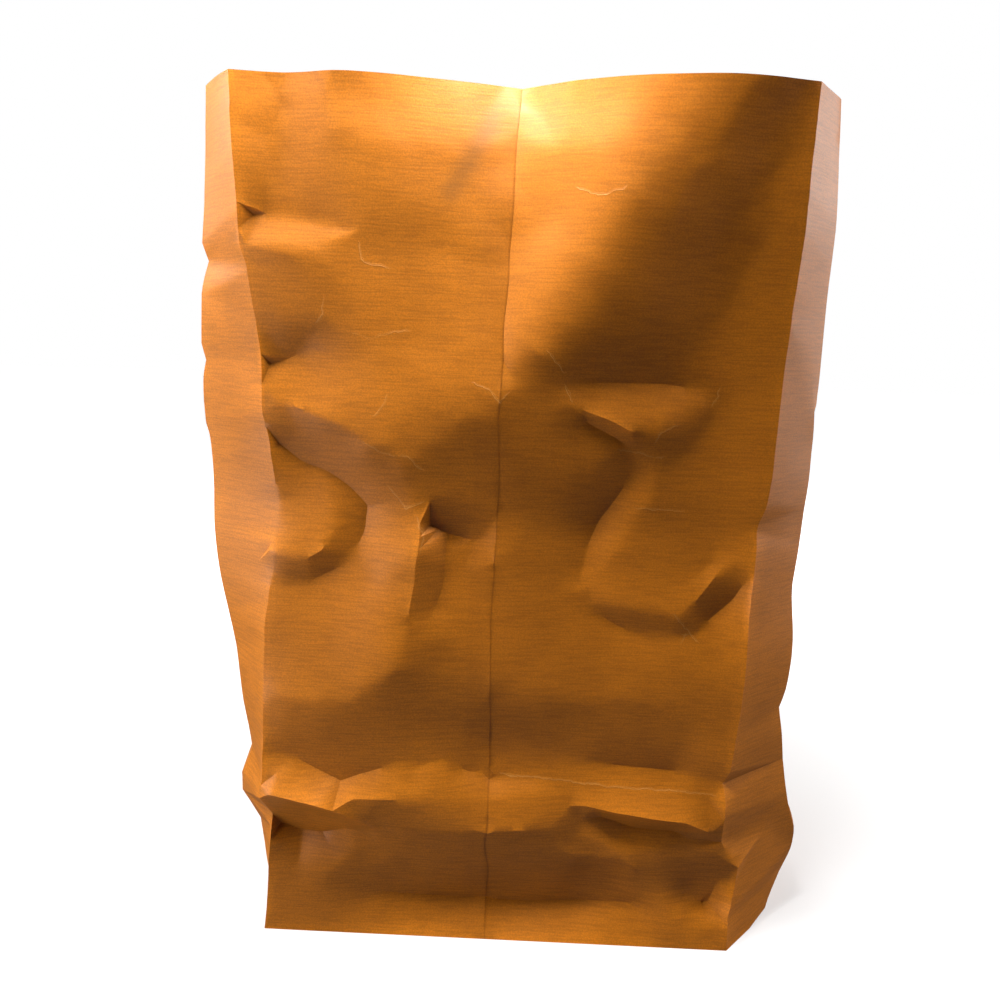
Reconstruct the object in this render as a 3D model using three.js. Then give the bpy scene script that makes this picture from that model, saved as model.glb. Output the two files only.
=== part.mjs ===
// A used block-bottom paper bag, stood open: one ribbed kraft sheet, folded, lapped and glued.
// Millimetres, +Z up. The base rests on Z = 0 and the panel with the glued seam faces -Y.

import * as THREE from "three";
import { ConvexHull } from "three/addons/math/ConvexHull.js";

// Driving dimensions of the bag
const bagWidth = 255; // front panel, corner crease to corner crease
const bagDepth = 170; // base, front edge to back edge
const bagHeight = 432; // base to cut rim
const paperThickness = 0.2; // one layer of the sheet
const seamLap = 12; // width glued double behind the front seam
const flapReach = 100; // outer bottom flap, from the front edge to its free edge
const lapRamp = 0.4; // width in which a lapped edge steps down by one layer

// Fineness of the crumpled surface
const creaseStep = 8; // longest run between two points of a crease
const frontGrain = 12; // spacing of the plain points between the creases of the front
const plainGrain = 24; // the same on the sides, the back and the base
const clearShare = 0.55; // share of the spacing that plain points keep from a crease
const pointGap = 2.5; // crease points nearer than this count as one
const settleRounds = 400; // passes in which the paper between the creases evens out
const outlineBow = 0.03; // share by which a panel's straight outline is bowed while it is divided

// Creases are given in per cent of a panel, so the whole of it is
const whole = 100;

// The paper's look
const kraftColour = 0xc9803f;
const kraftRoughness = 0.82;

// Corner creases, as [up, in, toward]: per cent of the height, then millimetres by which the
// crease is pushed in across the bag and towards its middle from front or back.
const frontLeftCorner = [
  [0, 0, 0], [5, 2, 2], [15.5, 4.5, 6], [19, 1, -3], [26.5, 2.5, 2], [32, 3, 3], [41, 5, 6],
  [47, 8, 9], [49.5, 7, 8], [51.5, 10, 10], [55, 11.5, 12], [58, 11, 11], [62.5, 9.5, 9],
  [65.5, 7, 7], [72, 7.5, 6], [77.5, 5, 4], [81, 3.5, 3], [83.5, 0, 3], [87.5, 1, 0], [100, 0, 0],
];
const frontRightCorner = [
  [0, 2, 0], [4.5, 2, 3], [8, -2, 8], [10.5, -3, 8], [12.5, 4, 8.5], [14, 8, 8], [18.5, 7.5, 7],
  [21.5, 9, 12], [23.5, 6, 10], [28, 4, 11], [37, 2.5, 13], [46.5, 2, 17], [51, 1.5, 20],
  [53.5, 2, 22], [56, -1.5, 21.5], [60, -3, 22], [69.5, -3, 20], [74, -3, 18], [81, -3, 14],
  [87, -2, 10], [92, -0.5, 6], [100, 1, 0],
];
const backRightCorner = [[0, 0, 10], [20, 2, 12], [48, 5, 19], [75, 2, 20], [100, 0, 18]];
const backLeftCorner = [[0, 0, 6], [20, 1, 10], [52, 5, 22], [75, 3, 22], [100, 0, 20]];

// Creases of the panels, as [across, up, out]: from -100 at the panel's left corner to 100 at its
// right one, per cent of the height, and millimetres out from the straight line between the corners.
const seam = [
  [0, 100, -18], [-1, 97.5, -12.5], [-2, 94.5, -8.5], [-3, 89.5, -4], [-4, 84.5, -1.5],
  [-8, 75.5, 4.5], [-9, 68.5, 10], [-10, 62.5, 8], [-10, 56, 4.5], [-8, 50.5, 2], [-8, 44.5, 0.8],
  [-6, 34, 0.5], [-4, 25.5, -5.5], [-2, 21, -4.5], [-4, 15, 6.5], [-7, 11, 2.5], [-5, 4, -9.5],
  [-4, 0, 0],
];
const frontCreases = {
  rim: [
    [-100, 100, 0], [-91, 100, -1.5], [-82, 100, -2.5], [-75, 100, -1], [-65, 100, 2], [-58, 100, 2],
    [-45, 100, -1], [-28, 100, -7], [-10, 100, -14], [0, 100, -18], [7, 100, -12], [17, 100, -5],
    [32, 100, 0.5], [47, 100, 5], [61, 100, 7.5], [70, 100, 8], [81, 100, 6], [93, 100, 2.5],
    [100, 100, 0],
  ],
  rimRollLeft: [[-63, 94.5, 2], [-46, 94, 1.5], [-28, 94, -1.5], [-12, 94, -5.5]],
  rimRollRight: [[9, 94, -3], [23, 94, 2.8], [37, 93.5, 7.5]],
  baseEdge: [[-100, 0, 0], [100, 0, 0]],
  diagonalRidge: [
    [62, 100, 7], [52, 94, 8.4], [43, 90, 9.8], [35, 86.5, 11], [28, 83, 12.3], [20, 79.5, 13.6],
    [12, 75, 14.3], [3, 71.5, 14],
  ],
  diagonalFlank: [
    [77, 100, 7.3], [67, 94, 7.3], [57, 90, 8.2], [48, 86.5, 9.2], [41, 83.5, 10.2],
    [33, 79.5, 10.7], [26, 75, 10.7], [15, 71.5, 11],
  ],
  rightHollow: [
    [93, 98.5, 1], [90, 93, 0], [87, 87, -0.4], [82, 81.5, -0.6], [76, 76.5, -1.5], [66, 72, -1.5],
  ],
  topLeftFold: [[-82, 100, -2.5], [-84, 94, -3.5], [-89, 90, -3.5], [-94, 87, -3]],
  rimStreak: [[-65, 100, 2], [-68, 96, 1], [-70, 92.5, -0.5]],
  upperLeftValley: [
    [-95, 86.5, -4], [-86, 86.5, -3], [-76, 86, -2], [-66, 85.5, -0.5], [-56, 85.5, 1.5],
  ],
  upperLeftRidge: [[-97, 83.5, 1], [-86, 83, 3.5], [-75, 83, 3.5], [-65, 84, 2.5], [-56, 85, 2]],
  upperBelly: [[-62, 80, 2.8], [-46, 80, 3], [-30, 81, 2.2], [-16, 82, 0.6]],
  secondLeftCrest: [[-97, 74, -0.2], [-89, 75, 1.4], [-80, 75.5, 2.2], [-74, 76.5, 2.8]],
  secondLeftValley: [[-97, 71, -3], [-91, 71.5, -2.6], [-84, 72.5, -1.4], [-78, 74.5, 1.2]],
  smallWave: [[-62, 74, 4], [-54, 73.5, 4.6], [-40, 74.5, 4.4]],
  leftCrest: [
    [-97, 67, 0], [-88, 66.5, 2.5], [-78, 65.5, 4.5], [-69, 64.5, 6.5], [-59, 62.5, 8.5],
    [-50, 61, 9.5], [-44, 60.5, 10],
  ],
  centreLeftRidge: [[-11, 68.5, 9.5], [-15, 67, 9], [-24, 65, 9], [-36, 62.5, 9.5], [-44, 60.5, 10]],
  leftBandValley: [[-97, 62, -2.5], [-89, 60, -2.5], [-79, 59, -1], [-71, 57.5, 0], [-64, 55.5, 1.5]],
  pinch: [[-44, 60.5, 10], [-48, 58, 8], [-44, 55, 8]],
  lensCrest: [[-44, 55, 8], [-37, 56, 7.5], [-27, 56, 6.5], [-18, 55, 5]],
  lensValley: [[-36, 53, 1.5], [-29, 52, -0.5], [-22, 51.5, -1.2], [-15, 51, 0]],
  uprightRidge: [
    [-44, 55, 8], [-40, 53.5, 9], [-39, 50.5, 9], [-40, 47, 8], [-41, 43.5, 7], [-41, 41.5, 6],
  ],
  uprightFoot: [[-28, 49, 0.5], [-29, 45.5, 0.5], [-31, 43, 1]],
  ridgeTick: [[-41, 41.5, 6], [-32, 41, 3]],
  bumpCrest: [
    [-96, 49.5, 2], [-90, 49, 3], [-83, 49, 3.7], [-78, 50, 4.1], [-76, 52.5, 4.1], [-76, 55, 3.3],
    [-79, 57.5, 1],
  ],
  bumpValley: [
    [-97, 46.5, 0.5], [-84, 46, 0.5], [-73, 47.5, 0.5], [-65, 50, 0.5], [-63, 52.5, 0.8],
    [-63, 55, 1.5],
  ],
  lowerLeftCrest: [
    [-96, 32, 1.5], [-87, 31.5, 3], [-76, 31.5, 4], [-67, 31.5, 4.5], [-58, 33, 5.5], [-49, 35, 6.5],
    [-44, 38.5, 6.5], [-41, 41.5, 6],
  ],
  rightValley: [
    [12, 69.5, 10], [24, 70, 6.5], [37, 70, 2.5], [54, 70, -1.5], [67, 69.5, -2.5], [78, 69, -2],
  ],
  rightCrest: [
    [15, 68.5, 9.7], [22, 67, 9], [33, 66, 8.5], [43, 64.5, 7], [49, 64, 6], [55, 65, 6],
    [62, 66, 4.5], [69, 67.5, 1], [75, 68.5, -2],
  ],
  rightUnder: [[25, 65.5, 6], [35, 64, 4.5], [43, 62.5, 2.5]],
  knot: [[37, 62.5, 4.5], [43, 62, 1], [48, 62.5, 4], [56, 61.5, 1.8]],
  rightFall: [[66, 64, 0], [73, 66, -2], [81, 67.5, -1.7]],
  centreBulge: [[-1, 61.5, 7], [15, 61.5, 6], [32, 61.5, 4.5]],
  centreValley: [[45, 60, 1], [39, 57, -1.8], [34, 54, -3.8], [30, 50.5, -5]],
  centreRise: [[54, 58.5, 2.4], [48, 55, 1], [44, 52, -0.6], [40, 49.8, -2.2]],
  smileUpper: [[27, 47, -4.8], [40, 48, -3.4], [58, 47.5, -3], [73, 46.5, -3]],
  smileCrest: [
    [26, 46, -4], [35, 45, -3.5], [44, 44, -3], [56, 43.5, -2.5], [66, 43, -2], [71, 42.5, -1.5],
  ],
  smileValley: [[34, 43, -5.5], [46, 41, -7], [58, 40, -7], [70, 40, -5]],
  notchRidge: [
    [97, 51.5, -0.5], [92, 49.5, -1], [84, 47.5, -1.2], [78, 45, -1.4], [74, 43.5, -1.6],
    [71, 42.5, -2],
  ],
  notchUpper: [[89, 51, -2], [79, 48.5, -3.5], [73, 46.5, -3]],
  notchValley: [[97, 47, -2], [93, 44.5, -5], [84, 42, -5.5], [78, 40.5, -4.5]],
  bellyCrest: [[-30, 35, 1.2], [-17, 34, 0], [16, 33, -1], [42, 32, -3], [69, 31, -3], [90, 30, -1.5]],
  bellyFoot: [[1, 25, -6], [27, 24, -7], [53, 23, -7.5], [77, 22.5, -6.5]],
  lowValley: [
    [-97, 26, 0], [-90, 24.5, -1.5], [-80, 23, -2], [-66, 21, -2.5], [-57, 22, -2.5], [-47, 23, -2],
    [-36, 24, -2.5], [-23, 23.5, -3.5], [-11, 22, -4.5], [11, 21.5, -4], [37, 21, -3.5],
    [70, 20.5, -3.5], [93, 19.5, -3],
  ],
  foldCrest: [
    [-95, 20, 4], [-83, 19.5, 6], [-73, 19, 6.5], [-64, 17.5, 7], [-54, 15.5, 7.5], [-40, 15.5, 7.5],
    [-23, 15.5, 7], [13, 15.5, 6], [25, 16, 3.5],
  ],
  foldUnder: [[-97, 13.5, -5.5], [-88, 12.5, -7], [-78, 12.5, -6], [-67, 14, 0], [-58, 14, 3]],
  cornerDiagonal: [
    [-97, 1, 0], [-88, 4.5, 0], [-81, 6.5, 0], [-71, 9.5, 0.5], [-60, 11.5, 1.5], [-53, 13.5, 4],
  ],
  toeBrow: [[-48, 11, 3], [-26, 11, 2.5], [9, 11, 2], [32, 11.5, 2.5]],
  toeValley: [
    [-63, 5.5, -2.5], [-45, 4.5, -6.5], [-25, 4, -9], [12, 3.5, -10.5], [37, 4, -10], [57, 4.5, -7],
    [70, 4.5, -3],
  ],
  rightDiagonal: [
    [30, 19, -3], [35, 17.5, -1.5], [42, 15.5, 0.5], [50, 12.5, 2.2], [57, 9.5, 1.5], [68, 6.5, 0.5],
    [77, 4.5, 0], [83, 3, 0],
  ],
  lensFold: [[39, 18.5, -1], [52, 18, 1.5], [68, 17.5, 2.5], [83, 17, 2], [94, 15.5, 1]],
  lensUnder: [[47, 16.5, -2.5], [61, 15, -3], [78, 15, -3], [91, 14, -1.5]],
  cavityCrest: [[52, 12, 2], [64, 12.5, 1], [78, 12.5, 0.8], [92, 13, 1.5]],
  cavity: [[72, 7, -3.5], [83, 5, -7], [92, 5, -7]],
  lipUnder: [[62, 10.5, 0], [75, 10.5, -0.8], [88, 10.5, -1]],
};
const rightCreases = {
  rim: [[-100, 100, 0], [-70, 100, 17], [-25, 100, 27], [20, 100, 26], [60, 100, 18], [100, 100, 0]],
  baseEdge: [
    [-100, 0, 0], [-79, 0, 17.2], [-58, 0, 31], [-38, 0, 38.5], [-18, 0, 42], [2, 0, 43], [22, 0, 41.5],
    [42, 0, 36.5], [62, 0, 27.5], [81, 0, 15.5], [100, 0, 0],
  ],
  frontFold: [
    [-70, 100, 17], [-70, 88.5, 22], [-69, 73, 25], [-68, 63, 27], [-68, 51, 30], [-70, 46, 27],
    [-68, 38.5, 31], [-69, 32, 30], [-70, 29.5, 27], [-66, 22, 38], [-62, 12, 44], [-56, 5, 38],
  ],
  middleCrease: [
    [-25, 100, 27], [-24, 74, 33], [-22, 51, 37], [-22, 30, 36], [-20, 20, 42], [-16, 11, 50],
    [-18, 0, 42],
  ],
  backFold: [[60, 100, 18], [58, 74, 23], [56, 50, 26], [54, 22, 28], [50, 12, 37], [42, 0, 36.5]],
  baseFold: [[-92, 14, 8], [-62, 12, 44], [-16, 11, 50], [50, 12, 37], [88, 14, 10]],
  shoulderNick: [[-96, 76, 4], [-84, 74.5, 14], [-72, 67, 24]],
  sideDent: [[-40, 57, 30], [-8, 60, 33], [24, 56, 31]],
  hipCrease: [[-62, 29.5, 29], [-22, 30, 36], [30, 33, 32], [70, 32, 15]],
};
const leftCreases = {
  rim: [[-100, 100, 0], [-55, 100, 19], [-10, 100, 28], [30, 100, 28], [70, 100, 19], [100, 100, 0]],
  baseEdge: [[-100, 0, 0], [100, 0, 0]],
  frontFold: [
    [70, 100, 19], [69, 84, 26], [69, 73, 37], [68, 64, 40], [70, 62, 38], [70, 55.5, 40],
    [70, 46, 34], [70, 41, 28], [71, 36, 23], [72, 28.5, 18], [73, 22.5, 12], [75, 16, 22],
    [76, 12, 12], [80, 7, 1],
  ],
  middleCrease: [
    [-10, 100, 28], [-8, 73, 41], [-8, 55, 44], [-8, 36, 31], [-8, 23, 18], [-6, 14, 11], [0, 7, 1],
  ],
  backFold: [[-55, 100, 19], [-55, 73, 28], [-56, 55, 29], [-56, 36, 20], [-58, 22, 9], [-60, 8, 0]],
  upperCrease: [[94, 83.5, 4], [69, 82, 24], [30, 83, 33], [-20, 86, 32]],
  shoulderCrease: [[94, 72, 6], [69, 71, 35], [30, 72, 38], [-8, 73, 41]],
  waistCrease: [[94, 63, 8], [70, 62, 38], [36, 60, 42], [-8, 62, 42], [-60, 65, 27]],
  hipCrease: [[94, 48, 7], [70, 46, 34], [30, 44, 37], [-8, 42, 35]],
  flapCrest: [[96, 18.5, 5], [75, 16, 22], [40, 17, 15], [-6, 18, 15], [-58, 19, 8]],
};
const backCreases = {
  rim: [[-100, 100, 0], [-50, 100, -3], [0, 100, -6], [45, 100, -2], [100, 100, 0]],
  baseEdge: [[-100, 0, 0], [100, 0, 0]],
  lowValley: [[-94, 21, -3], [-40, 20, -6], [10, 21, -7], [60, 20, -5], [94, 22, -3]],
  bellyCrest: [[-90, 38, 2], [-45, 40, 6], [0, 37, 8], [50, 39, 6], [90, 41, 2]],
  fallingCrease: [[-88, 74, 2], [-52, 66, 6], [-18, 62, 5], [22, 58, 7], [58, 49, 4]],
  hollow: [[-60, 54, -3], [-20, 50, -4], [20, 49, -3]],
  shoulderHollow: [[-10, 84, -6], [26, 78, -7], [60, 72, -4], [88, 70, -1]],
  toeCrest: [[-80, 11, 3], [-20, 10, 4], [40, 11, 4], [82, 10, 2]],
};

// Corners, each with its place in the plain box and its crease
const corners = {
  frontLeft: { across: -1, along: -1, path: frontLeftCorner, points: [] },
  frontRight: { across: 1, along: -1, path: frontRightCorner, points: [] },
  backRight: { across: 1, along: 1, path: backRightCorner, points: [] },
  backLeft: { across: -1, along: 1, path: backLeftCorner, points: [] },
};
const panels = [
  {
    from: corners.frontLeft,
    to: corners.frontRight,
    out: new THREE.Vector3(0, -1, 0),
    width: bagWidth,
    creases: frontCreases,
    grain: frontGrain,
    seam,
  },
  {
    from: corners.frontRight,
    to: corners.backRight,
    out: new THREE.Vector3(1, 0, 0),
    width: bagDepth,
    creases: rightCreases,
    grain: plainGrain,
  },
  {
    from: corners.backRight,
    to: corners.backLeft,
    out: new THREE.Vector3(0, 1, 0),
    width: bagWidth,
    creases: backCreases,
    grain: plainGrain,
  },
  {
    from: corners.backLeft,
    to: corners.frontLeft,
    out: new THREE.Vector3(-1, 0, 0),
    width: bagDepth,
    creases: leftCreases,
    grain: plainGrain,
  },
];

// The outer face of the sheet as points with their number of paper layers, and triangles between them
const skin = [];
const faces = [];

function addPoint(place, layers) {
  skin.push({ place, layers });
  return skin.length - 1;
}

// A corner crease's point at a height given in per cent
function cornerPlace(corner, up) {
  const upper = Math.max(1, corner.path.findIndex((kink) => kink[0] >= up));
  const [low, high] = [corner.path[upper - 1], corner.path[upper]];
  const share = (up - low[0]) / (high[0] - low[0]);
  const [, inward, toward] = low.map((value, i) => THREE.MathUtils.lerp(value, high[i], share));
  return new THREE.Vector3(
    corner.across * (bagWidth / 2 - inward),
    corner.along * (bagDepth / 2 - toward),
    (up / whole) * bagHeight,
  );
}

// A run of points divided so that no step is longer than the one given, measured by the function given
function divided(run, longest, measure) {
  const points = run.slice(0, 1);
  for (let i = 1; i < run.length; i++) {
    const steps = Math.ceil(measure(run[i - 1], run[i]) / longest);
    for (let k = 1; k <= steps; k++)
      points.push(run[i].map((value, axis) => THREE.MathUtils.lerp(run[i - 1][axis], value, k / steps)));
  }
  return points;
}

// The distance between two points in a plane
function apart(a, b) {
  return Math.hypot(b[0] - a[0], b[1] - a[1]);
}

// Triangles between points in a plane, as the underside of their hull when lifted onto a bowl
function triangulate(flat, halfWidth, halfHeight) {
  const lifted = flat.map(([x, y]) => {
    const bowedX = x * (1 + outlineBow * (1 - (y / halfHeight) ** 2));
    const bowedY = y * (1 + outlineBow * (1 - (x / halfWidth) ** 2));
    return new THREE.Vector3(bowedX, bowedY, (bowedX ** 2 + bowedY ** 2) / (halfWidth + halfHeight));
  });
  const order = new Map(lifted.map((point, i) => [point, i]));
  const hull = new ConvexHull().setFromPoints(lifted);
  const under = hull.faces.filter((face) => face.normal.z < 0);
  const anticlockwise = ({ edge }) => [edge.next.next, edge.next, edge];
  return under.map((face) => anticlockwise(face).map((side) => order.get(side.head().point)));
}

// Corner points first, because two panels share each of them
for (const corner of Object.values(corners)) {
  const rise = (a, b) => ((b[0] - a[0]) / whole) * bagHeight;
  const longest = corner.along < 0 ? creaseStep : plainGrain;
  for (const [up] of divided(corner.path, longest, rise))
    corner.points.push({ up, index: addPoint(cornerPlace(corner, up), 1) });
}

for (const panel of panels) {
  const halfWidth = panel.width / 2;
  const points = [];
  const flatten = (across, up) => [(across / whole) * halfWidth, (up / whole - 0.5) * bagHeight];
  const length = (a, b) => apart(flatten(a[0], a[1]), flatten(b[0], b[1]));
  const place = (across, up, out, gap, layers) => {
    const flat = flatten(across, up);
    if (points.every((point) => apart(point.flat, flat) > gap))
      points.push({ flat, across, up, out, layers, free: out === null });
  };

  for (const [corner, across] of [[panel.from, -whole], [panel.to, whole]])
    for (const { up, index } of corner.points)
      points.push({ flat: flatten(across, up), across, up, out: 0, free: false, index });

  // The seam: the edge of the outer layer, and beside it the layer that runs on under it
  const rampShare = (lapRamp / halfWidth) * whole;
  const lapShare = (seamLap / halfWidth) * whole;
  for (const [across, up, out] of divided(panel.seam ?? [], creaseStep, length)) {
    place(across, up, out, 0, 2);
    place(across + rampShare, up, up > 0 ? out - paperThickness : out, 0, 1);
  }
  const seamAt = (up) => points.find((point) => point.layers === 2 && point.up <= up).across;
  const layersAt = (across, up) => {
    const beside = panel.seam ? seamAt(up) - across : -1;
    return beside > 0 && beside < lapShare ? 2 : 1;
  };

  for (const crease of Object.values(panel.creases))
    for (const [across, up, out] of divided(crease, panel.seam ? creaseStep : plainGrain, length))
      place(across, up, out, pointGap, layersAt(across, up));

  // Plain points between the creases, in staggered rows
  const rows = Math.round(bagHeight / panel.grain);
  const columns = Math.round(panel.width / panel.grain);
  for (let row = 1; row < rows; row++)
    for (let column = 0; column < columns; column++) {
      const across = (((column + (row % 2 ? 0.25 : 0.75)) / columns) * 2 - 1) * whole;
      const up = (row / rows) * whole;
      place(across, up, null, panel.grain * clearShare, layersAt(across, up));
    }

  // Between its creases the paper evens out: each plain point settles to the mean of its neighbours
  const triangles = triangulate(points.map(({ flat }) => flat), halfWidth, bagHeight / 2);
  for (const point of points) point.beside = new Set();
  for (const triangle of triangles)
    for (const a of triangle) for (const b of triangle) if (a !== b) points[a].beside.add(points[b]);
  for (let round = 0; round < settleRounds; round++)
    for (const point of points.filter(({ free }) => free)) {
      let sum = 0;
      let pull = 0;
      for (const { flat, out } of point.beside) {
        const nearness = 1 / apart(flat, point.flat);
        sum += out * nearness;
        pull += nearness;
      }
      point.out = sum / pull;
    }

  for (const point of points) {
    if (point.index !== undefined) continue;
    const [left, right] = [cornerPlace(panel.from, point.up), cornerPlace(panel.to, point.up)];
    const spot = left.lerp(right, (point.across / whole + 1) / 2).addScaledVector(panel.out, point.out);
    point.index = addPoint(spot, point.layers);
  }
  faces.push(...triangles.map((triangle) => triangle.map((i) => points[i].index)));
  const along = (up) =>
    points
      .filter((point) => point.up === up)
      .sort((a, b) => a.across - b.across)
      .slice(0, -1)
      .map(({ index }) => index);
  panel.rim = along(whole);
  panel.foot = along(0);
}

// The base: its outline is the foot of the panels, and the outer bottom flap lies one layer lower
const rim = panels.flatMap((panel) => panel.rim);
const foot = panels.flatMap((panel) => panel.foot);
const basePoints = foot.map((index) => ({ flat: [skin[index].place.x, skin[index].place.y], index }));
const outline = basePoints.map(({ flat }) => flat);
const halfAcross = Math.max(...outline.map(([x]) => Math.abs(x)));
const halfAlong = Math.max(...outline.map(([, y]) => Math.abs(y)));

// The flap's two slanting sides and free edge, or the same line moved out by the width given
function flapEdge(moved) {
  const freeEdge = flapReach - bagDepth / 2 + moved;
  const half = bagWidth / 2 - flapReach + moved * (Math.SQRT2 - 1);
  const fold = half + freeEdge + bagDepth / 2;
  return [[-fold, -bagDepth / 2], [-half, freeEdge], [half, freeEdge], [fold, -bagDepth / 2]];
}

function onFlap([x, y]) {
  const [, [, freeEdge], , [fold, front]] = flapEdge(lapRamp / 2);
  return y < freeEdge && Math.abs(x) < fold + front - y;
}

function insideOutline([x, y]) {
  return outline.every(([ax, ay], i) => {
    const [bx, by] = outline[(i + 1) % outline.length];
    return (bx - ax) * (y - ay) > (by - ay) * (x - ax);
  });
}

function placeOnBase(flat, gap) {
  const clear = basePoints.every((point) => apart(point.flat, flat) > gap);
  if (clear && insideOutline(flat)) basePoints.push({ flat });
}

for (const moved of [0, lapRamp])
  for (const flat of divided(flapEdge(moved), plainGrain, apart)) placeOnBase(flat, lapRamp * clearShare);
for (let y = -halfAlong, stagger = 0; y < halfAlong; y += plainGrain, stagger = plainGrain / 2 - stagger)
  for (let x = -halfAcross + stagger; x < halfAcross; x += plainGrain)
    placeOnBase([x, y], plainGrain * clearShare);
for (const point of basePoints) {
  const level = onFlap(point.flat) ? 0 : paperThickness;
  point.index ??= addPoint(new THREE.Vector3(...point.flat, level), 1);
  skin[point.index].place.z = level;
}
const baseTriangles = triangulate(basePoints.map(({ flat }) => flat), halfAcross, halfAlong);
faces.push(...baseTriangles.map((triangle) => triangle.map((i) => basePoints[i].index).reverse()));

// The inner face lies one or two layers behind the outer one
const normals = skin.map(() => new THREE.Vector3());
for (const face of faces) {
  const [a, b, c] = face.map((i) => skin[i].place);
  const slant = new THREE.Vector3().subVectors(b, a).cross(new THREE.Vector3().subVectors(c, a));
  for (const i of face) normals[i].add(slant);
}
for (const i of rim) normals[i].z = 0;
const inner = skin.map(({ place, layers }, i) =>
  place.clone().addScaledVector(normals[i].normalize(), -paperThickness * layers),
);
const insideFaces = faces.map(([a, b, c]) => [c, b, a].map((i) => i + skin.length));
const rimFaces = rim.flatMap((a, i) => {
  const b = rim[(i + 1) % rim.length];
  return [[a, b, b + skin.length], [a, b + skin.length, a + skin.length]];
});

const geometry = new THREE.BufferGeometry().setFromPoints([...skin.map(({ place }) => place), ...inner]);
geometry.setIndex([...faces, ...insideFaces, ...rimFaces].flat());
geometry.computeVertexNormals();

const bag = new THREE.Mesh(
  geometry,
  new THREE.MeshStandardMaterial({ color: kraftColour, roughness: kraftRoughness, metalness: 0 }),
);
bag.name = "paper_bag";
const group = new THREE.Group();
group.add(bag);

export default group;
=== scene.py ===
import math

import bmesh
import bpy
import numpy as np
from mathutils import Matrix, Vector


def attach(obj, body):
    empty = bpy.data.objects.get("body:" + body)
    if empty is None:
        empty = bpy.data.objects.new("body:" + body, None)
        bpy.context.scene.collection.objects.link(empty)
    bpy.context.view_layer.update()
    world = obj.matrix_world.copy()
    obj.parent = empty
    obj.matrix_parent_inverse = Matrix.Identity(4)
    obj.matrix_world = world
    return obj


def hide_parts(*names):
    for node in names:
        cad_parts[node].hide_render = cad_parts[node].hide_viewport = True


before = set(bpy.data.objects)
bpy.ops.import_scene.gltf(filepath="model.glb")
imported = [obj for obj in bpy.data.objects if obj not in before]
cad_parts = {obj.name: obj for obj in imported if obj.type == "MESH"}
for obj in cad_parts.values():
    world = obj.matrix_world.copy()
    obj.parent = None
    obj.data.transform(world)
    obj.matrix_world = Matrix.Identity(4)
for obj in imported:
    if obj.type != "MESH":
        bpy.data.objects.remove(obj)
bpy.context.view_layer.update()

# The bag is one sheet of ribbed kraft paper, folded round a form into four panels and a block bottom,
# then lapped and glued up the front. Use has crumpled it, so sharp creases run between stretches of
# paper that bend softly, and it stands open on its folded bottom.
MM = 0.001
PAPER_THICK = 0.2 * MM
HALVINGS = 2  # each triangle of the solid becomes sixteen
CREASE_TURN = 0.13  # neighbouring faces that turn by more than about this much stay a crease
SMOOTH_ROUNDS = 20
FIT_ROUNDS = 30
FOOT_BAND = 0.5 * MM  # points this near the floor stay where they are
MERGE_GAP = 0.01 * MM
HARD_FOLD = math.radians(24)  # folds sharper than this are shaded as an edge


def outer_face(node):
    """The points and triangles of the outer face of the sheet, without its inner face and cut edge."""
    sheet = bmesh.new()
    sheet.from_mesh(node.data)
    bmesh.ops.remove_doubles(sheet, verts=sheet.verts, dist=MERGE_GAP)
    rim_height = max(point.co.z for point in sheet.verts)
    cut_edge = [f for f in sheet.faces if all(rim_height - v.co.z < MERGE_GAP for v in f.verts)]
    bmesh.ops.delete(sheet, geom=cut_edge, context="FACES")
    lowest = min(sheet.verts, key=lambda point: point.co.z)
    kept = {lowest}
    fresh = [lowest]
    while fresh:
        point = fresh.pop()
        beside = {edge.other_vert(point) for edge in point.link_edges} - kept
        kept |= beside
        fresh.extend(beside)
    bmesh.ops.delete(sheet, geom=[v for v in sheet.verts if v not in kept], context="VERTS")
    sheet.verts.index_update()
    points = np.array([v.co[:] for v in sheet.verts])
    triangles = np.array([[v.index for v in f.verts] for f in sheet.faces])
    sheet.free()
    return points, triangles


def edges_of(triangles):
    """Each edge once, as a pair of points, and the three edges of each triangle."""
    sides = np.concatenate([triangles[:, [0, 1]], triangles[:, [1, 2]], triangles[:, [2, 0]]])
    pairs, which = np.unique(np.sort(sides, axis=1), axis=0, return_inverse=True)
    return pairs, which.reshape(3, -1).T


def halved(points, triangles):
    """Each triangle divided into four at the middles of its edges."""
    pairs, which = edges_of(triangles)
    a, b, c = triangles.T
    ab, bc, ca = which.T + len(points)
    points = np.concatenate([points, points[pairs].mean(axis=1)])
    quarters = [(a, ab, ca), (ab, b, bc), (ca, bc, c), (ab, bc, ca)]
    return points, np.concatenate([np.stack(quarter, axis=1) for quarter in quarters])


def faces_beside(triangles):
    """The three triangles next to each one, or the triangle itself at the rim."""
    which = edges_of(triangles)[1].T.reshape(-1)
    order = np.argsort(which, kind="stable")
    face = np.tile(np.arange(len(triangles)), 3)[order]
    side = np.repeat(np.arange(3), len(triangles))[order]
    shared = np.flatnonzero(which[order][1:] == which[order][:-1])
    beside = np.tile(np.arange(len(triangles))[:, None], (1, 3))
    beside[face[shared], side[shared]] = face[shared + 1]
    beside[face[shared + 1], side[shared + 1]] = face[shared]
    return beside


def facing(points, triangles):
    """Each triangle's direction and area."""
    a, b, c = (points[triangles[:, i]] for i in range(3))
    cross = np.cross(b - a, c - a)
    size = np.linalg.norm(cross, axis=1, keepdims=True)
    return cross / size, size / 2


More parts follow.
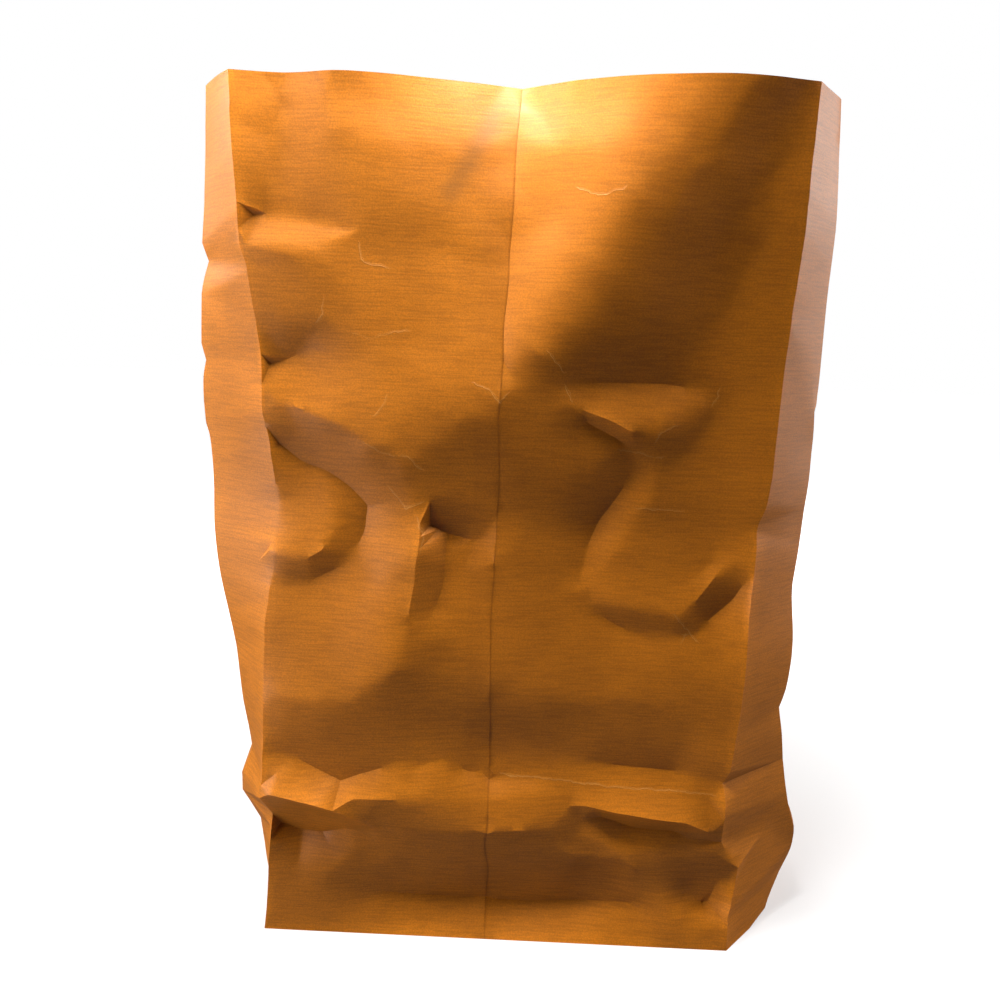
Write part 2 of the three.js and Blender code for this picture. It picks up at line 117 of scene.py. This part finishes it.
def softened(points, triangles):
    """The sheet bent softly between its creases, with foot and rim left at their height."""
    directions, areas = facing(points, triangles)
    beside = faces_beside(triangles)
    for _ in range(SMOOTH_ROUNDS):
        turn = ((directions[beside] - directions[:, None]) ** 2).sum(axis=2, keepdims=True)
        alike = areas[beside] * np.exp(-turn / (2 * CREASE_TURN**2))
        directions = directions * areas + (directions[beside] * alike).sum(axis=1)
        directions /= np.linalg.norm(directions, axis=1, keepdims=True)
    corner = triangles.T.reshape(-1)
    uses = np.bincount(corner, minlength=len(points))[:, None]
    along = np.tile(directions, (3, 1))
    foot = points[:, 2] < FOOT_BAND
    rim = points[:, 2] > points[:, 2].max() - MERGE_GAP
    for _ in range(FIT_ROUNDS):
        middle = np.tile(points[triangles].mean(axis=1), (3, 1))
        push = along * ((middle - points[corner]) * along).sum(axis=1, keepdims=True)
        move = np.stack([np.bincount(corner, push[:, i], len(points)) for i in range(3)], axis=1) / uses
        move[foot] = 0
        move[rim, 2] = 0
        points = points + move
    return points


points, triangles = outer_face(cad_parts["paper_bag"])

# The lapped seam shows in the solid as a pair of points a hair apart at each height.
SEAM_STEP = 0.6 * MM
pairs, _ = edges_of(triangles)
ends = points[pairs]
short = np.linalg.norm(ends[:, 0] - ends[:, 1], axis=1) < SEAM_STEP
lap = ends[short & (ends[:, :, 2].min(axis=1) > MM)]
lap = lap[np.argsort(lap[:, 0, 2])]
seam_x = np.interp(points[:, 2], lap[:, 0, 2], lap[:, :, 0].min(axis=1))

# How far each point of the front panel lies to the left of the seam's free edge, in millimetres
FAR_MM = 1000.0
from_seam = np.where(points[:, 1] > 0, FAR_MM, (seam_x - points[:, 0]) / MM)

points = np.column_stack([points, from_seam])
for _ in range(HALVINGS):
    points, triangles = halved(points, triangles)
from_seam = points[:, 3]
points = softened(points[:, :3], triangles)
behind = points[:, 1] > 0


def beside_lines(lines):
    """Each front point's distance in millimetres from the nearest line, and the same signed by its side."""
    x, _, z = points.T / MM
    nearest = np.full(len(points), FAR_MM)
    signed = nearest.copy()
    for line in lines:
        for start, end in zip(line, line[1:]):
            along = np.subtract(end, start)
            off_x, off_z = x - start[0], z - start[1]
            share = np.clip((off_x * along[0] + off_z * along[1]) / along.dot(along), 0, 1)
            gap = np.hypot(off_x - share * along[0], off_z - share * along[1])
            closer = ~behind & (gap < nearest)
            side = np.sign(along[0] * off_z - along[1] * off_x)
            nearest[closer] = gap[closer]
            signed[closer] = (side * gap)[closer]
    return nearest, signed


# Some folds of the front panel are rolled over softly, not creased: the long one that falls from the rim to
# the seam, the right edge of the shelf beside it, and the rim of the hollow at the lower right corner.
# Their paths are in millimetres across and up, and they stay clear of the foot and the lapped seam's step.
SOFT_BENDS = [
    [(45, 372), (31, 346), (20, 322), (8, 300)],
    [(67, 269), (80, 279), (92, 290)],
    [(112, 47), (101, 50), (83, 34), (101, 14)],
]
BEND_REACH_MM = 14.0
BEND_ROUNDS = 28
BEND_STEP = 0.5
SEAM_CLEAR_MM = 6.0
rolled = np.clip(1 - beside_lines(SOFT_BENDS)[0] / BEND_REACH_MM, 0, 1)[:, None]
rolled[np.abs(from_seam) < SEAM_CLEAR_MM] = 0
rolled[points[:, 2] < FOOT_BAND] = 0
pairs, _ = edges_of(triangles)
ends = np.concatenate([pairs, pairs[:, ::-1]])
uses = np.bincount(ends[:, 0])[:, None]
for _ in range(BEND_ROUNDS):
    total = np.stack([np.bincount(ends[:, 0], points[ends[:, 1], i]) for i in range(3)], axis=1)
    points = points + BEND_STEP * rolled * (total / uses - points)


def outward(points, triangles):
    """Each point's direction out of the sheet."""
    directions, areas = facing(points, triangles)
    spread = np.tile(directions * areas, (3, 1))
    corner = triangles.T.reshape(-1)
    out = np.stack([np.bincount(corner, spread[:, i], len(points)) for i in range(3)], axis=1)
    return out / np.linalg.norm(out, axis=1, keepdims=True)


# Handling leaves shallow folds that cross at random over all the walls, less and less towards the foot.
CRUMPLES = 8
CRUMPLE_DEPTH = 1.1 * MM
CRUMPLE_SPAN = 62 * MM
CRUMPLE_SWAY = 14 * MM
CRUMPLE_SWAY_SPAN = 45 * MM
CRUMPLE_FADE = 60 * MM
CRUMPLE_SEED = 5
chance = np.random.default_rng(CRUMPLE_SEED)
ways = chance.normal(size=(3, CRUMPLES))
ways /= np.linalg.norm(ways, axis=0)
swayed = points + CRUMPLE_SWAY * np.sin(points[:, [1, 2, 0]] / CRUMPLE_SWAY_SPAN)
waves = swayed @ ways / CRUMPLE_SPAN + chance.random(CRUMPLES)
crumple = CRUMPLE_DEPTH * (np.abs(waves % 1 - 0.5) - 0.25).sum(axis=1)
crumple *= np.clip(points[:, 2] / CRUMPLE_FADE, 0, 1)
points[:, :2] += outward(points, triangles)[:, :2] * crumple[:, None]

skin = bpy.data.meshes.new("kraft_sheet")
skin.from_pydata(points.tolist(), [], triangles.tolist())
skin.shade_smooth()
skin.set_sharp_from_angle(angle=HARD_FOLD)
rim_height = points[:, 2].max() - MERGE_GAP
for edge in skin.edges:
    if all(skin.vertices[end].co.z > rim_height for end in edge.vertices):
        edge.use_edge_sharp = True  # the cut rim is square
bag = bpy.data.objects.new("kraft_sheet", skin)
bpy.context.scene.collection.objects.link(bag)


def keep(name, kind, domain, values):
    """Values stored on the sheet for its material to read."""
    held = skin.attributes.new(name, kind, domain)
    held.data.foreach_set("vector" if kind == "FLOAT_VECTOR" else "value", np.float32(values).reshape(-1))


keep("seam_mm", "FLOAT", "POINT", from_seam)

# The ribs run level round the walls, and under the base they run on from its front edge. Each corner of
# a triangle gets its place in a pattern of ribs of this pitch and length. The real ribs are finer, and
# they are drawn as coarse as they need to show.
RIB_MM = 0.9
RIB_RUN_MM = 14.0
corners = points[triangles].reshape(-1, 3)
on_base = np.repeat((points[triangles][:, :, 2] < FOOT_BAND).all(axis=1), 3)
front_edge = points[points[:, 2] < FOOT_BAND][:, 1].min()
sheet_height = np.where(on_base, front_edge - corners[:, 1], corners[:, 2])
run = RIB_RUN_MM * MM
rib_places = np.column_stack([corners[:, 0] / run, corners[:, 1] / run, sheet_height / (RIB_MM * MM)])
keep("rib_place", "FLOAT_VECTOR", "CORNER", rib_places)

# How sharply the sheet folds outwards at each point: such folds rub pale, and inward ones are painted darker
# as shade.
# The step of the lapped seam is no fold.
point_out = outward(points, triangles)
span = points[pairs[:, 1]] - points[pairs[:, 0]]
turned = point_out[pairs[:, 1]] - point_out[pairs[:, 0]]
bend = (turned * span).sum(axis=1) / (span**2).sum(axis=1) * MM
folds = sum(np.bincount(pairs[:, end], bend, len(points)) for end in range(2))
folds /= np.bincount(pairs.reshape(-1), minlength=len(points))
folds[np.abs(from_seam) < SEAM_CLEAR_MM] = 0
keep("fold_per_mm", "FLOAT", "POINT", folds)

# Where the sheet was folded hardest its fibres have broken and show as pale hairlines. These are the ones
# on the front panel, and a soft streak of painted shadow beside the top of its seam, in millimetres across
# and up.
HAIRLINES = [
    [(-60, 293), (-61, 289), (-65, 284)],
    [(-70, 271), (-63, 267), (-57, 265)],
    [(-53, 266), (-48, 264), (-45, 260), (-43, 259)],
    [(-59, 249), (-51, 238), (-47, 240), (-43, 242)],
    [(-45, 233), (-42, 225), (-43, 217)],
    [(-18, 301), (-11, 298), (-6, 292), (-3, 296)],
    [(25, 300), (28, 294)],
    [(53, 270), (63, 269), (69, 267), (74, 267)],
    [(70, 275), (72, 279), (76, 281), (80, 283)],
    [(100, 300), (100, 296), (98, 293)],
    [(64, 240), (73, 240), (87, 239)],
    [(87, 185), (93, 178), (99, 171)],
    [(91, 170), (94, 175)],
    [(-75, 322), (-67, 320), (-57, 323), (-50, 324)],
    [(-72, 361), (-71, 354), (-59, 352)],
    [(-89, 337), (-89, 331), (-92, 327)],
    [(16, 316), (23, 308)],
    [(26, 387), (36, 384), (45, 387)],
    [(0, 94), (32, 92), (64, 89), (114, 87)],
]
PAINTED_SHADOW = [[(-14, 416), (-19, 405), (-28, 390), (-31, 385)]]
hair_gap, hair_side = beside_lines(HAIRLINES)
keep("hair_gap_mm", "FLOAT", "POINT", hair_gap)
keep("hair_side_mm", "FLOAT", "POINT", hair_side)
keep("painted_shadow_mm", "FLOAT", "POINT", beside_lines(PAINTED_SHADOW)[0])

walls = bag.modifiers.new("paper_thickness", "SOLIDIFY")
walls.thickness = PAPER_THICK
walls.offset = -1


def linear(hex_colour):
    """An sRGB hex colour as the linear red, green, blue and alpha that a shader takes."""
    channels = [int(hex_colour[i : i + 2], 16) / 255 for i in (1, 3, 5)]
    return [c / 12.92 if c <= 0.04045 else ((c + 0.055) / 1.055) ** 2.4 for c in channels] + [1]


def add_node(tree, kind, settings, links):
    """A node of the kind given, with its own settings, and its inputs set or linked."""
    node = tree.nodes.new(kind)
    for name, value in settings.items():
        setattr(node, name, value)
    for name, value in links.items():
        if isinstance(value, bpy.types.NodeSocket):
            tree.links.new(value, node.inputs[name])
        else:
            node.inputs[name].default_value = value
    return node


# Ribbed brown kraft: unbleached softwood pulp, machine finished with fine ribs across the sheet. The
# ribs catch a low light, the pulp is cloudy and slightly see-through, and a hard fold breaks it paler.
FIBRE_MM = 0.7
CLOUD_MM = 40.0
JAG_MM = 4.0
HAIR_SWAY_MM = 3.0
RIB_DEPTH_MM = 0.05
FIBRE_DEPTH_MM = 0.025
TORN_DEPTH_MM = 0.2
SEAM_LAP_MM = 12.0
LAP_BLUR_MM = 0.5
SEE_THROUGH = 0.08
kraft = bpy.data.materials.new("ribbed_kraft")
kraft.use_nodes = True
tree = kraft.node_tree
tree.nodes.clear()
place = add_node(tree, "ShaderNodeTexCoord", {}, {}).outputs["Object"]
held = {}
for name in ("rib_place", "fold_per_mm", "seam_mm", "hair_gap_mm", "hair_side_mm", "painted_shadow_mm"):
    held[name] = add_node(tree, "ShaderNodeAttribute", {"attribute_name": name}, {}).outputs
noise = {}
for name, spot, scale, detail in (
    ("ribs", held["rib_place"]["Vector"], 1.0, 2.0),
    ("clouds", place, 1 / (CLOUD_MM * MM), 5.0),
    ("fibres", place, 1 / (FIBRE_MM * MM), 2.0),
    ("jags", place, 1 / (JAG_MM * MM), 3.0),
):
    links = {"Vector": spot, "Scale": scale, "Detail": detail}
    noise[name] = add_node(tree, "ShaderNodeTexNoise", {}, links).outputs["Fac"]

# A hairline wanders from its path as torn fibres do.
links = {0: noise["jags"], 1: HAIR_SWAY_MM, 2: held["hair_side_mm"]["Fac"]}
wander = add_node(tree, "ShaderNodeMath", {"operation": "MULTIPLY_ADD"}, links).outputs[0]

# What each pattern or distance does: the range it is read over, and the share or tone it becomes
share = {}
for name, value, low, high, to_low, to_high in (
    ("ribs", noise["ribs"], 0.38, 0.56, 0.87, 1.05),
    ("clouds", noise["clouds"], 0.3, 0.7, 0.93, 1.07),
    ("fibres", noise["fibres"], 0.35, 0.65, 0.86, 1.14),
    # inward folds painted darker as shade, outward ones paler where their fibres rub
    ("folds", held["fold_per_mm"]["Fac"], -0.12, 0.12, 0.8, 1.25),
    # the lapped strip painted darker as shade, for less light coming through its two layers
    ("lap", held["seam_mm"]["Fac"], SEAM_LAP_MM + LAP_BLUR_MM, SEAM_LAP_MM - LAP_BLUR_MM, 0.0, 0.12),
    # a dark line of painted shadow along the lap's free edge
    ("lap_edge_shadow", held["seam_mm"]["Fac"], -0.7, 0.5, 0.0, 1.0),
    ("hair", wander, 0.7, 2.3, 0.0, 1.0),
    ("near_hair", held["hair_gap_mm"]["Fac"], 1.0, 2.5, 0.4, 0.0),
    # a soft streak of painted shadow beside the top of the seam
    ("painted_shadow", held["painted_shadow_mm"]["Fac"], 1.0, 7.0, 0.4, 0.0),
):
    links = {"Value": value, "From Min": low, "From Max": high, "To Min": to_low, "To Max": to_high}
    share[name] = add_node(tree, "ShaderNodeMapRange", {}, links).outputs["Result"]

# The lap's free edge is one dark line of painted shadow. A hairline is a pale strand with a weaker one
# beside it.
strand = {}
for name, stops in (
    ("lap_edge_shadow", ((0.0, "#000000"), (0.5, "#909090"), (1.0, "#000000"))),
    ("hair", ((0.0, "#000000"), (0.3, "#FFFFFF"), (0.45, "#303030"), (0.6, "#C0C0C0"), (0.8, "#000000"))),
):
    strand[name] = add_node(tree, "ShaderNodeValToRGB", {}, {"Fac": share[name]})
    ramp = strand[name].color_ramp.elements
    ramp.remove(ramp[1])
    for spot, strength in stops:
        ramp.new(spot).color = linear(strength)
    ramp.remove(ramp[0])
links = {0: strand["hair"].outputs["Color"], 1: share["near_hair"]}
torn = add_node(tree, "ShaderNodeMath", {"operation": "MULTIPLY"}, links).outputs[0]

# The tones of ribs, pulp and folds on the paper's colour, with inward folds painted darker as shade, then
# the lap's painted shade, the painted shadow line at its edge, torn fibres and the painted shadow streak
colour = linear("#BF6F12")
for how, amount, over in (
    ("MULTIPLY", 1.0, share["ribs"]),
    ("MULTIPLY", 1.0, share["clouds"]),
    ("MULTIPLY", 1.0, share["fibres"]),
    ("MULTIPLY", 1.0, share["folds"]),
    ("MIX", share["lap"], linear("#A05A10")),
    ("MIX", strand["lap_edge_shadow"].outputs["Color"], linear("#5A2A04")),
    ("MIX", torn, linear("#E6A858")),
    ("MIX", share["painted_shadow"], linear("#6A4A20")),
):
    settings = {"data_type": "RGBA", "blend_type": how}
    colour = add_node(tree, "ShaderNodeMix", settings, {0: amount, 6: colour, 7: over}).outputs[2]

# The ribs, the fibres and the torn hairlines each stand up a little.
relief = None
for height, depth in (
    (noise["ribs"], RIB_DEPTH_MM),
    (noise["fibres"], FIBRE_DEPTH_MM),
    (torn, TORN_DEPTH_MM),
):
    links = {"Strength": 1.0, "Distance": depth * MM, "Height": height}
    if relief:
        links["Normal"] = relief
    relief = add_node(tree, "ShaderNodeBump", {}, links).outputs["Normal"]
links = {"Base Color": colour, "Roughness": 0.48, "Specular IOR Level": 0.4, "Normal": relief}
face = add_node(tree, "ShaderNodeBsdfPrincipled", {}, links)
through = add_node(tree, "ShaderNodeBsdfTranslucent", {}, {"Color": linear("#C05A14"), "Normal": relief})
links = {0: SEE_THROUGH, 1: face.outputs[0], 2: through.outputs[0]}
paper = add_node(tree, "ShaderNodeMixShader", {}, links)
add_node(tree, "ShaderNodeOutputMaterial", {}, {"Surface": paper.outputs[0]})
skin.materials.append(kraft)
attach(bag, "root")
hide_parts("paper_bag")

# The floor is a plain white sheet. The camera sees it glow white, less so round the bag, where the lit
# sheet makes up the rest and the bag's shadow shows. For other rays it is grey and throws little back.
FLOOR_SIZE = 12.0
NEAR_BAG = 0.2  # the glow is weakest this near, in metres
FAR_OFF = 0.75  # and full from here
NEAR_GLOW = 0.35
FULL_GLOW = 1.0
bpy.ops.mesh.primitive_plane_add(size=FLOOR_SIZE)
floor = bpy.context.object
floor.name = "floor"
white = bpy.data.materials.new("white_card")
white.use_nodes = True
tree = white.node_tree
tree.nodes.clear()
ray = add_node(tree, "ShaderNodeLightPath", {}, {})
spot = add_node(tree, "ShaderNodeTexCoord", {}, {}).outputs["Object"]
reach = add_node(tree, "ShaderNodeVectorMath", {"operation": "LENGTH"}, {0: spot}).outputs["Value"]
links = {"Value": reach, "From Min": NEAR_BAG, "From Max": FAR_OFF, "To Min": NEAR_GLOW, "To Max": FULL_GLOW}
fade = add_node(tree, "ShaderNodeMapRange", {}, links).outputs["Result"]
glow = add_node(tree, "ShaderNodeEmission", {}, {"Strength": fade})
lit = add_node(tree, "ShaderNodeBsdfDiffuse", {}, {"Color": linear("#C8C8C8")})
seen = add_node(tree, "ShaderNodeAddShader", {}, {0: glow.outputs[0], 1: lit.outputs[0]})
thrown = add_node(tree, "ShaderNodeBsdfDiffuse", {}, {"Color": linear("#656565")})
links = {0: ray.outputs["Is Camera Ray"], 1: thrown.outputs[0], 2: seen.outputs[0]}
card = add_node(tree, "ShaderNodeMixShader", {}, links)
add_node(tree, "ShaderNodeOutputMaterial", {}, {"Surface": card.outputs[0]})
floor.data.materials.append(white)

# Light: small soft boxes close above the rim and on the left, low ones for the base, and larger ones to
# the right and behind. The camera does not see the boxes themselves.
LOOK_AT = Vector((0, 0, 0.22))
ROOM_LIGHT = 0.008  # for all rays but the camera's


def soft_box(name, spot, size, watts):
    """A square lamp at the spot given, in metres, aimed at the bag."""
    light = bpy.data.lights.new(name, "AREA")
    light.energy = watts
    light.size = size
    holder = bpy.data.objects.new(name, light)
    holder.location = spot
    holder.rotation_euler = (LOOK_AT - Vector(spot)).to_track_quat("-Z", "Y").to_euler()
    holder.visible_camera = False
    bpy.context.scene.collection.objects.link(holder)


soft_box("above", (0, -0.13, 0.6), 0.13, 2.75)
soft_box("above_left", (-0.22, -0.13, 0.68), 0.15, 1.9)
soft_box("left", (-0.55, -0.13, 0.55), 0.2, 2.5)
soft_box("left_front", (-0.42, -0.25, 0.62), 0.2, 0.5)
soft_box("low_left", (-0.5, -0.3, 0.12), 0.3, 1.5)
soft_box("right", (1.1, 0.1, 0.75), 0.6, 12.5)
soft_box("low_right", (0.9, 0.2, 0.25), 0.4, 1.5)
soft_box("left_behind", (-1.0, 0.3, 0.6), 0.6, 1.5)
soft_box("behind", (-0.3, 1.3, 0.7), 0.8, 12)
world = bpy.data.worlds.new("studio")
bpy.context.scene.world = world
world.use_nodes = True
tree = world.node_tree
tree.nodes.clear()
ray = add_node(tree, "ShaderNodeLightPath", {}, {})
room = add_node(tree, "ShaderNodeBackground", {}, {"Color": linear("#FFFFFF"), "Strength": ROOM_LIGHT})
backdrop = add_node(tree, "ShaderNodeBackground", {}, {"Color": linear("#FFFFFF"), "Strength": FULL_GLOW})
links = {0: ray.outputs["Is Camera Ray"], 1: room.outputs[0], 2: backdrop.outputs[0]}
studio = add_node(tree, "ShaderNodeMixShader", {}, links)
add_node(tree, "ShaderNodeOutputWorld", {}, {"Surface": studio.outputs[0]})

# Camera, close in front of the bag, a little above its middle
LENS_MM = 27
SENSOR_MM = 36
CAMERA_SPOT = Vector((0.004, -0.437, 0.320))
PITCH, YAW, ROLL = (math.radians(angle) for angle in (11.9, -1.4, -1.7))
forward = Vector((math.sin(YAW) * math.cos(PITCH), math.cos(YAW) * math.cos(PITCH), -math.sin(PITCH)))
right = Vector((math.cos(YAW), -math.sin(YAW), 0))
down = forward.cross(right)
right_rolled = math.cos(ROLL) * right + math.sin(ROLL) * down
down_rolled = -math.sin(ROLL) * right + math.cos(ROLL) * down
camera = bpy.data.objects.new("camera", bpy.data.cameras.new("camera"))
camera.data.lens = LENS_MM
camera.data.sensor_width = SENSOR_MM
pose = Matrix((right_rolled, -down_rolled, -forward)).transposed().to_4x4()
pose.translation = CAMERA_SPOT
camera.matrix_world = pose
bpy.context.scene.collection.objects.link(camera)
bpy.context.scene.camera = camera
bpy.context.scene.view_settings.view_transform = "Standard"
